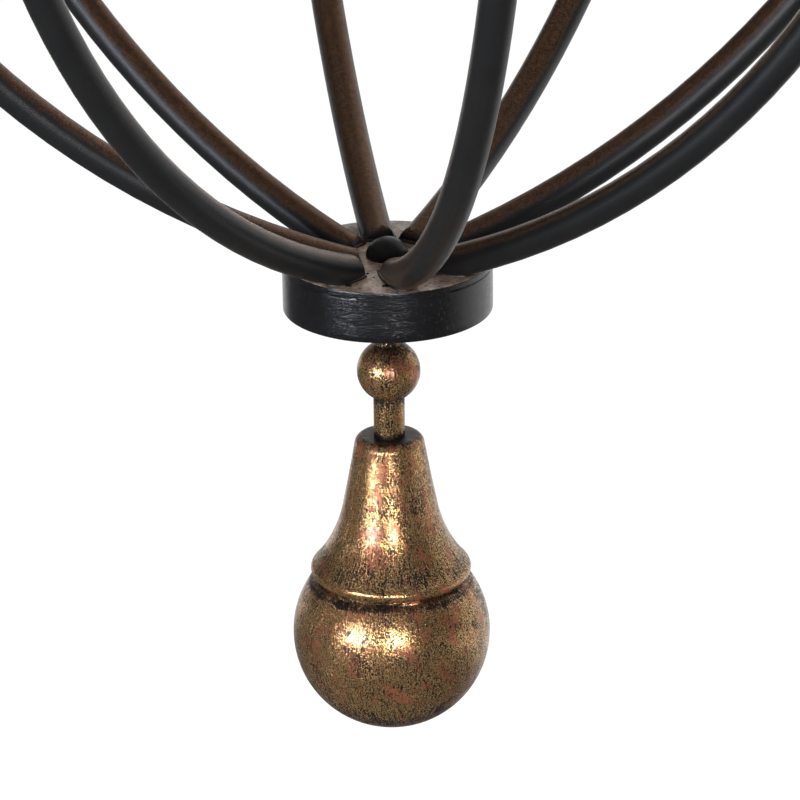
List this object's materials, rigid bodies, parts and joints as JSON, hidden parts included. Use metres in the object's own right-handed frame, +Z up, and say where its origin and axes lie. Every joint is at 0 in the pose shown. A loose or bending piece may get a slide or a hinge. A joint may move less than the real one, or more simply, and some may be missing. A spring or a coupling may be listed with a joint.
{
  "type": "orb chandelier",
  "caption": "Chandelier with a cage of bent round bars welded between an upper and a lower hub, a turned bell-and-ball finial, candle lights inside, and a chain from a ceiling canopy.",
  "frame": {"origin": "in the ceiling's plane, in the middle of the crossbar's two screw slots", "axes": "+Z up along the hanging axis, +X along the crossbar"},
  "size_m": [0.5786, 0.5786, 1.2516],
  "materials": {
    "black_steel": "satin black paint on steel",
    "dusted_black_iron": "satin black, dusted with bronze brown on the inside",
    "gilt_wood": "turned hardwood with antique gold metal leaf, rubbed back and flecked black",
    "gilt_metal": "antique gold leaf, flecked black",
    "zinc_steel": "zinc plated",
    "green_screw": "green",
    "ivory_sleeve": "ivory, matt",
    "lamp_holder": "moulded black",
    "bulb_glass": "clear"
  },
  "bodies": {
    "ceiling_set": {"canopy": "black_steel", "crossbar": "zinc_steel", "ground_screw": "green_screw", "crossbar_locknut": "zinc_steel", "ceiling_nipple": "zinc_steel", "canopy_loop": "black_steel", "canopy_collar": "black_steel"},
    "link_1": {"chain_link_1": "black_steel"},
    "link_2": {"chain_link_2": "black_steel"},
    "link_3": {"chain_link_3": "black_steel"},
    "fixture": {"fixture_loop": "black_steel", "top_nipple": "zinc_steel", "top_hub": "dusted_black_iron", "top_hub_plate": "dusted_black_iron", "stem_collar": "black_steel", "centre_stem": "black_steel", "rib_1": "dusted_black_iron", "rib_2": "dusted_black_iron", "rib_3": "dusted_black_iron", "rib_4": "dusted_black_iron", "rib_5": "dusted_black_iron", "rib_6": "dusted_black_iron", "rib_7": "dusted_black_iron", "rib_8": "dusted_black_iron", "bottom_hub_plate": "dusted_black_iron", "bottom_hub": "dusted_black_iron", "cap_nut": "black_steel", "finial_stud": "zinc_steel", "finial_collar_tube": "gilt_metal", "finial_bead": "gilt_metal", "finial_neck": "gilt_metal", "finial_bell": "gilt_wood", "finial_ball": "gilt_wood", "cluster_cap": "black_steel", "cluster_body": "black_steel", "cluster_base": "black_steel", "cluster_knob": "gilt_metal", "arm_1": "black_steel", "drip_pan_1": "gilt_metal", "candle_sleeve_1": "ivory_sleeve", "lamp_socket_1": "lamp_holder", "bulb_1": "bulb_glass", "arm_2": "black_steel", "drip_pan_2": "gilt_metal", "candle_sleeve_2": "ivory_sleeve", "lamp_socket_2": "lamp_holder", "bulb_2": "bulb_glass", "arm_3": "black_steel", "drip_pan_3": "gilt_metal", "candle_sleeve_3": "ivory_sleeve", "lamp_socket_3": "lamp_holder", "bulb_3": "bulb_glass", "arm_4": "black_steel", "drip_pan_4": "gilt_metal", "candle_sleeve_4": "ivory_sleeve", "lamp_socket_4": "lamp_holder", "bulb_4": "bulb_glass"}
  },
  "joints": [
    {"name": "link_1_swing", "type": "hinge", "parent": "ceiling_set", "child": "link_1", "pos_m": [0, 0, -0.0645], "axis": [1, 0, 0], "range_deg": [-20, 20]},
    {"name": "link_2_swing", "type": "hinge", "parent": "link_1", "child": "link_2", "pos_m": [0, 0, -0.0977], "axis": [0, 1, 0], "range_deg": [-20, 20]},
    {"name": "link_3_swing", "type": "hinge", "parent": "link_2", "child": "link_3", "pos_m": [0, 0, -0.1314], "axis": [1, 0, 0], "range_deg": [-20, 20]},
    {"name": "fixture_swing", "type": "hinge", "parent": "link_3", "child": "fixture", "pos_m": [0, 0, -0.1651], "axis": [0, 1, 0], "range_deg": [-20, 20]}
  ]
}
